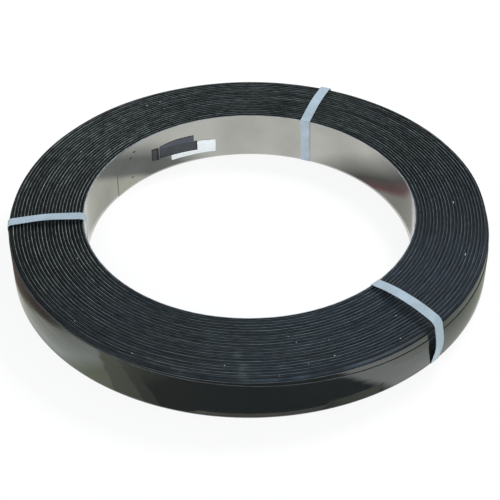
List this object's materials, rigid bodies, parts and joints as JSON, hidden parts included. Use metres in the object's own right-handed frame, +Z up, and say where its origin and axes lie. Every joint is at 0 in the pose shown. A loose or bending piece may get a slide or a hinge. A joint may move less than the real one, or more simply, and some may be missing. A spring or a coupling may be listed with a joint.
{
  "type": "steel strapping coil",
  "caption": "Flat coil of black-painted steel strapping, held by steel ties round its section, with a bright steel band lining its bore; supplies strap to a dispenser.",
  "frame": {"origin": "on the floor under the middle of the coil", "axes": "+Z up along the bore's axis, +X to the right in the picture, +Y away from the viewer"},
  "size_m": [0.5884, 0.5884, 0.071],
  "materials": {
    "black_strap": "black painted and waxed, glossy on the face of the strap and satin on its edges",
    "bright_band": "bright cold-rolled sheet",
    "tie_steel": "zinc-coated, satin",
    "white_paper": "matt uncoated paper, no print",
    "dark_sticker": "dark film, satin, no print"
  },
  "bodies": {
    "root": {"strap_coil": "black_strap", "core_band": "bright_band", "tie_back": "tie_steel", "tie_left": "tie_steel", "tie_front": "tie_steel", "label_paper": "white_paper", "label_patch": "dark_sticker"}
  },
  "joints": []
}
